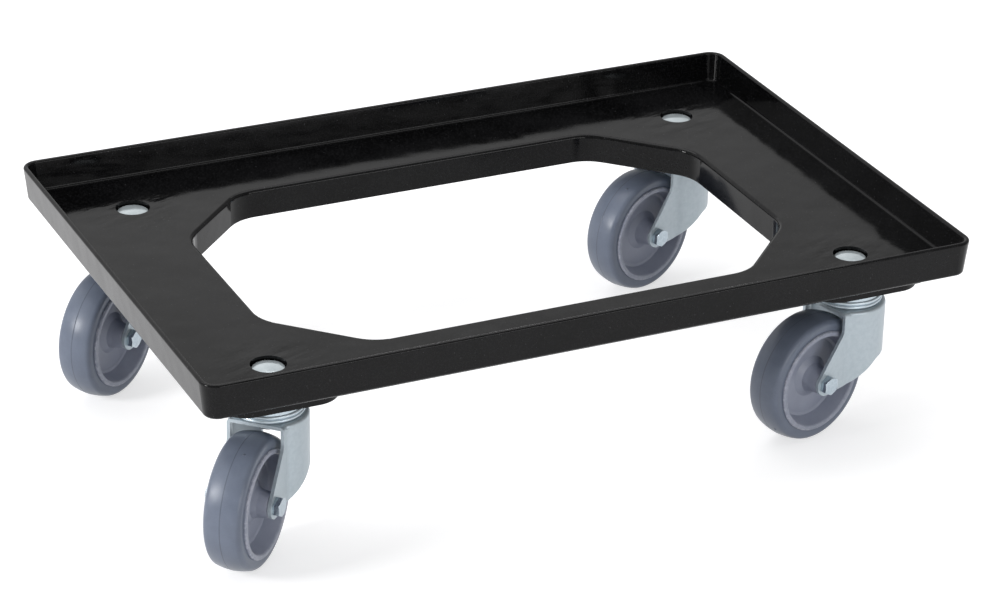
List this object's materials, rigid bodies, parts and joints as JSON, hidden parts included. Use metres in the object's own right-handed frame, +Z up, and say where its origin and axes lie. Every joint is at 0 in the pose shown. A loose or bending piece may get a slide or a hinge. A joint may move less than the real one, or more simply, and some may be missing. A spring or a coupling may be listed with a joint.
{
  "type": "crate dolly",
  "caption": "Low black plastic crate dolly: a shallow rimmed deck with a chamfered central cut-out, on zinc swivel castors with grey tyres.",
  "frame": {"origin": "on the floor, under the middle of the deck and of the castor pattern", "axes": "+X along the long side, -Y to the front long side, +Z up out of the deck"},
  "size_m": [0.6176, 0.42, 0.163],
  "materials": {
    "deck_plastic": "satin",
    "zinc_sheet": "satin",
    "zinc_bright": "bright",
    "ball_steel": "polished",
    "hub_plastic": "satin",
    "tyre_rubber": "matte"
  },
  "bodies": {
    "chassis": {"deck_frame": "deck_plastic", "mounting_bolt_fl": "zinc_bright", "mounting_nut_fl": "zinc_bright", "kingpin_fl": "zinc_bright", "race_cap_fl": "zinc_bright", "upper_balls_fl": "ball_steel", "lower_balls_fl": "ball_steel", "lower_race_fl": "zinc_bright", "mounting_bolt_fr": "zinc_bright", "mounting_nut_fr": "zinc_bright", "kingpin_fr": "zinc_bright", "race_cap_fr": "zinc_bright", "upper_balls_fr": "ball_steel", "lower_balls_fr": "ball_steel", "lower_race_fr": "zinc_bright", "mounting_bolt_bl": "zinc_bright", "mounting_nut_bl": "zinc_bright", "kingpin_bl": "zinc_bright", "race_cap_bl": "zinc_bright", "upper_balls_bl": "ball_steel", "lower_balls_bl": "ball_steel", "lower_race_bl": "zinc_bright", "mounting_bolt_br": "zinc_bright", "mounting_nut_br": "zinc_bright", "kingpin_br": "zinc_bright", "race_cap_br": "zinc_bright", "upper_balls_br": "ball_steel", "lower_balls_br": "ball_steel", "lower_race_br": "zinc_bright"},
    "castor_fl": {"fork_fl": "zinc_sheet", "axle_bolt_fl": "zinc_bright", "axle_nut_fl": "zinc_bright", "axle_sleeve_fl": "zinc_bright"},
    "wheel_fl": {"hub_fl": "hub_plastic", "tyre_fl": "tyre_rubber"},
    "castor_fr": {"fork_fr": "zinc_sheet", "axle_bolt_fr": "zinc_bright", "axle_nut_fr": "zinc_bright", "axle_sleeve_fr": "zinc_bright"},
    "wheel_fr": {"hub_fr": "hub_plastic", "tyre_fr": "tyre_rubber"},
    "castor_bl": {"fork_bl": "zinc_sheet", "axle_bolt_bl": "zinc_bright", "axle_nut_bl": "zinc_bright", "axle_sleeve_bl": "zinc_bright"},
    "wheel_bl": {"hub_bl": "hub_plastic", "tyre_bl": "tyre_rubber"},
    "castor_br": {"fork_br": "zinc_sheet", "axle_bolt_br": "zinc_bright", "axle_nut_br": "zinc_bright", "axle_sleeve_br": "zinc_bright"},
    "wheel_br": {"hub_br": "hub_plastic", "tyre_br": "tyre_rubber"}
  },
  "joints": [
    {"name": "swivel_fl", "type": "hinge", "parent": "chassis", "child": "castor_fl", "pos_m": [-0.235, -0.1425, 0.12], "axis": [0, 0, 1], "continuous": true},
    {"name": "roll_fl", "type": "hinge", "parent": "castor_fl", "child": "wheel_fl", "pos_m": [-0.26348, -0.17199, 0.05], "axis": [0.7193, -0.6947, 0], "continuous": true},
    {"name": "swivel_fr", "type": "hinge", "parent": "chassis", "child": "castor_fr", "pos_m": [0.235, -0.1425, 0.12], "axis": [0, 0, 1], "continuous": true},
    {"name": "roll_fr", "type": "hinge", "parent": "castor_fr", "child": "wheel_fr", "pos_m": [0.19579, -0.15449, 0.05], "axis": [0.2924, -0.9563, 0], "continuous": true},
    {"name": "swivel_bl", "type": "hinge", "parent": "chassis", "child": "castor_bl", "pos_m": [-0.235, 0.1425, 0.12], "axis": [0, 0, 1], "continuous": true},
    {"name": "roll_bl", "type": "hinge", "parent": "castor_bl", "child": "wheel_bl", "pos_m": [-0.26731, 0.11726, 0.05], "axis": [0.6157, -0.788, 0], "continuous": true},
    {"name": "swivel_br", "type": "hinge", "parent": "chassis", "child": "castor_br", "pos_m": [0.235, 0.1425, 0.12], "axis": [0, 0, 1], "continuous": true},
    {"name": "roll_br", "type": "hinge", "parent": "castor_br", "child": "wheel_br", "pos_m": [0.19647, 0.12848, 0.05], "axis": [0.342, -0.9397, 0], "continuous": true}
  ]
}
